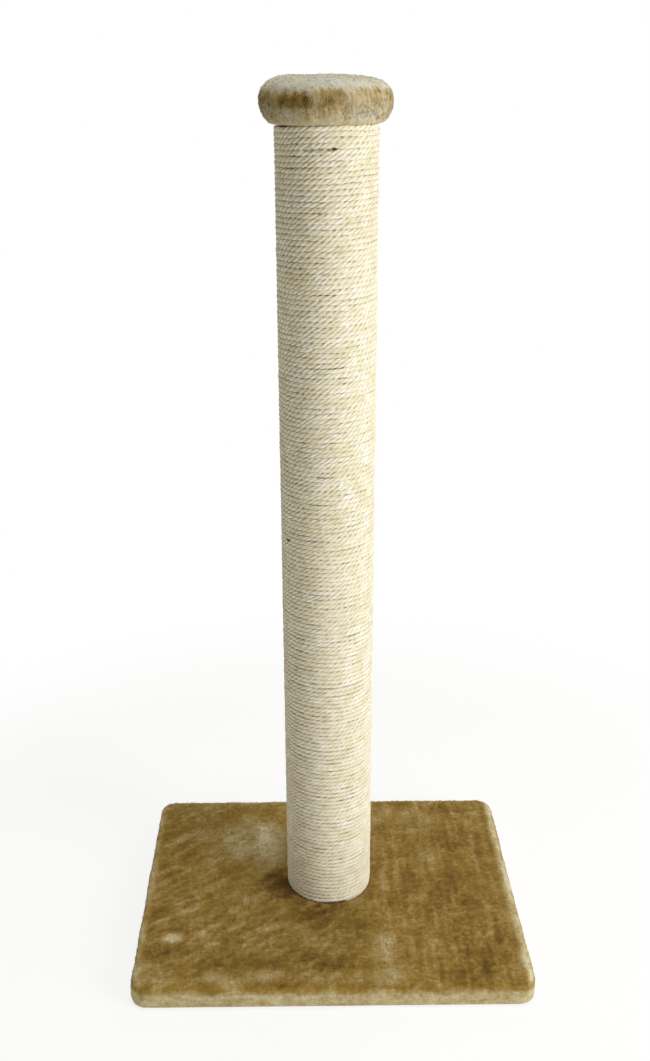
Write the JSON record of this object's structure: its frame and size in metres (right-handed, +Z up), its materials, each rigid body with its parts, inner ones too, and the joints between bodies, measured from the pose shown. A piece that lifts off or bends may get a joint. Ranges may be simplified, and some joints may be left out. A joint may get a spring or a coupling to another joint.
{
  "type": "cat scratching post",
  "caption": "Free-standing cat scratching post: a sisal rope wound upright on a plush covered rectangular base, with a padded round plush cap.",
  "frame": {"origin": "on the floor under the middle of the base", "axes": "+X to the viewer's right along the base's long side, +Y away from the viewer, +Z up along the post"},
  "size_m": [0.4, 0.31, 0.848],
  "materials": {
    "particle_board": "matte",
    "base_pile": "matte",
    "cap_pile": "matte",
    "card_tube": "matte",
    "plug_wood": "matte",
    "sisal": "matte",
    "wadding": "matte",
    "zinc_steel": "satin"
  },
  "bodies": {
    "root": {"base_board": "particle_board", "base_plush": "base_pile", "base_staples": "zinc_steel", "post_bolt": "zinc_steel", "bolt_washer": "zinc_steel", "post_tube": "card_tube", "bottom_plug": "plug_wood", "bottom_tee_nut": "zinc_steel", "bottom_plug_nails": "zinc_steel", "top_plug": "plug_wood", "top_tee_nut": "zinc_steel", "top_plug_nails": "zinc_steel", "sisal_rope_foot": "sisal", "sisal_rope_middle": "sisal", "sisal_rope_head": "sisal", "rope_staples": "zinc_steel", "cap_board": "particle_board", "cap_padding": "wadding", "cap_plush": "cap_pile", "cap_bolt": "zinc_steel", "cap_staples": "zinc_steel"}
  },
  "joints": []
}
